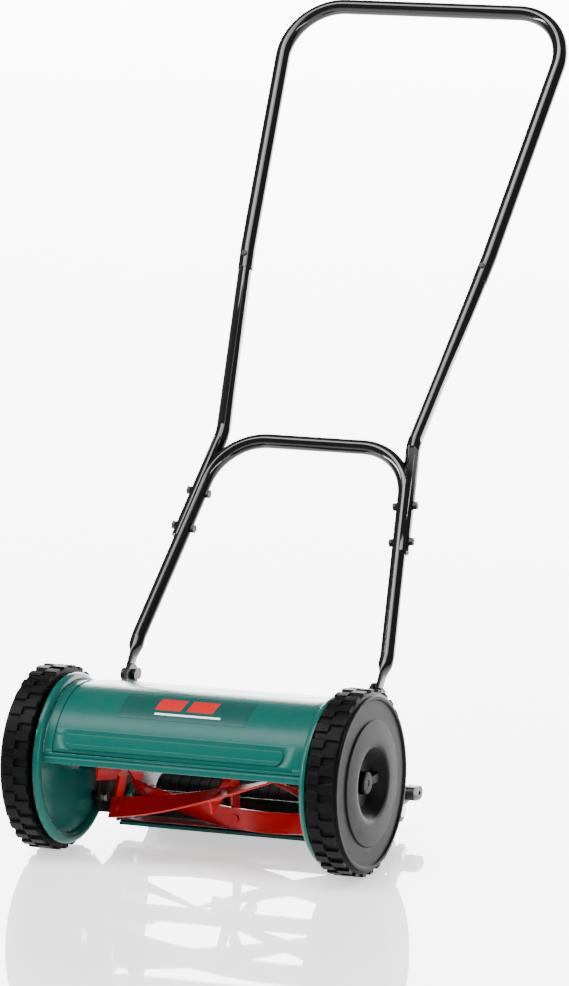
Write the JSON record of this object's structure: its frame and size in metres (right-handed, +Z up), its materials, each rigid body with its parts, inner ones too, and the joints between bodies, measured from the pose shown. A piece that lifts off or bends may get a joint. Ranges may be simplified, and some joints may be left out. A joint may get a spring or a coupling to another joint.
{
  "type": "reel mower",
  "caption": "Hand-pushed reel lawn mower with geared wheels, a helical cutting reel, bed knife, curved cover, rear roller and a folding tube handle.",
  "frame": {"origin": "on the ground, at the centre of the machine's footprint: the middle of the width, and halfway between the front of the wheels and the back of the handle", "axes": "+X along the wheel axles towards the machine's left as the user walks behind it facing -Y, +Y back towards the user, +Z up"},
  "size_m": [0.445, 0.8537, 0.9496],
  "materials": {
    "green_paint": "glossy teal-green enamel on pressed steel",
    "label_print": "printed film, darker green with plain red and white slanted bars",
    "red_paint": "glossy red enamel",
    "black_paint": "black powder coat",
    "tube_paint": "gloss black enamel on steel tube",
    "black_plastic": "satin moulded plastic",
    "knife_steel": "ground edge, blued flat",
    "gear_iron": "oiled",
    "zinc": "zinc plated"
  },
  "bodies": {
    "chassis": {"side_disc_left": "green_paint", "side_disc_right": "green_paint", "cover": "green_paint", "label_panel": "label_print", "side_frame_left": "black_paint", "side_frame_right": "black_paint", "frame_bolts": "zinc", "frame_nuts": "zinc", "stub_axle_left": "zinc", "stub_axle_right": "zinc", "axle_nuts": "zinc", "wheel_clips": "zinc", "reel_bush_left": "black_plastic", "reel_bush_right": "black_plastic", "knife_carrier": "green_paint", "bed_knife": "knife_steel", "knife_screws": "zinc", "carrier_bolts": "zinc", "arm_bolts": "zinc", "pivot_bolts": "black_paint"},
    "wheel_l": {"wheel_left": "black_plastic", "ring_gear_left": "black_plastic", "hub_cap_left": "black_plastic"},
    "wheel_r": {"wheel_right": "black_plastic", "ring_gear_right": "black_plastic", "hub_cap_right": "black_plastic"},
    "reel": {"reel_shaft": "red_paint", "spider_left": "red_paint", "spider_middle": "red_paint", "spider_right": "red_paint", "blade_1": "red_paint", "blade_2": "red_paint", "blade_3": "red_paint", "blade_4": "red_paint", "blade_5": "red_paint", "blade_rivets": "red_paint", "pinion_left": "gear_iron", "pinion_right": "gear_iron"},
    "roller_frame": {"roller_arm_left": "black_paint", "roller_arm_right": "black_paint", "roller_axle": "zinc"},
    "roller_body": {"roller": "black_plastic"},
    "handle": {"lower_handle": "tube_paint", "middle_tube_left": "tube_paint", "middle_tube_right": "tube_paint", "upper_handle": "tube_paint", "joint_bolts": "black_paint", "joint_nuts": "black_paint", "sleeve_screws": "black_paint"}
  },
  "joints": [
    {"name": "wheel_left_spin", "type": "hinge", "parent": "chassis", "child": "wheel_l", "pos_m": [-0.2, -0.31484, 0.112], "axis": [1, 0, 0], "continuous": true},
    {"name": "wheel_right_spin", "type": "hinge", "parent": "chassis", "child": "wheel_r", "pos_m": [0.2, -0.31484, 0.112], "axis": [1, 0, 0], "continuous": true},
    {"name": "reel_spin", "type": "hinge", "parent": "chassis", "child": "reel", "pos_m": [0, -0.23689, 0.094], "axis": [1, 0, 0], "continuous": true},
    {"name": "height_adjust", "type": "hinge", "parent": "chassis", "child": "roller_frame", "pos_m": [0, -0.15684, 0.066], "axis": [1, 0, 0], "range_deg": [-12, 18]},
    {"name": "roller_spin", "type": "hinge", "parent": "roller_frame", "child": "roller_body", "pos_m": [0, -0.10984, 0.028], "axis": [1, 0, 0], "continuous": true},
    {"name": "handle_swing", "type": "hinge", "parent": "chassis", "child": "handle", "pos_m": [0, -0.17184, 0.186], "axis": [1, 0, 0], "range_deg": [0, 90]}
  ],
  "couplings": [
    {"joint": "wheel_right_spin", "follows": "wheel_left_spin", "ratio": 1},
    {"joint": "reel_spin", "follows": "wheel_left_spin", "ratio": 6}
  ]
}
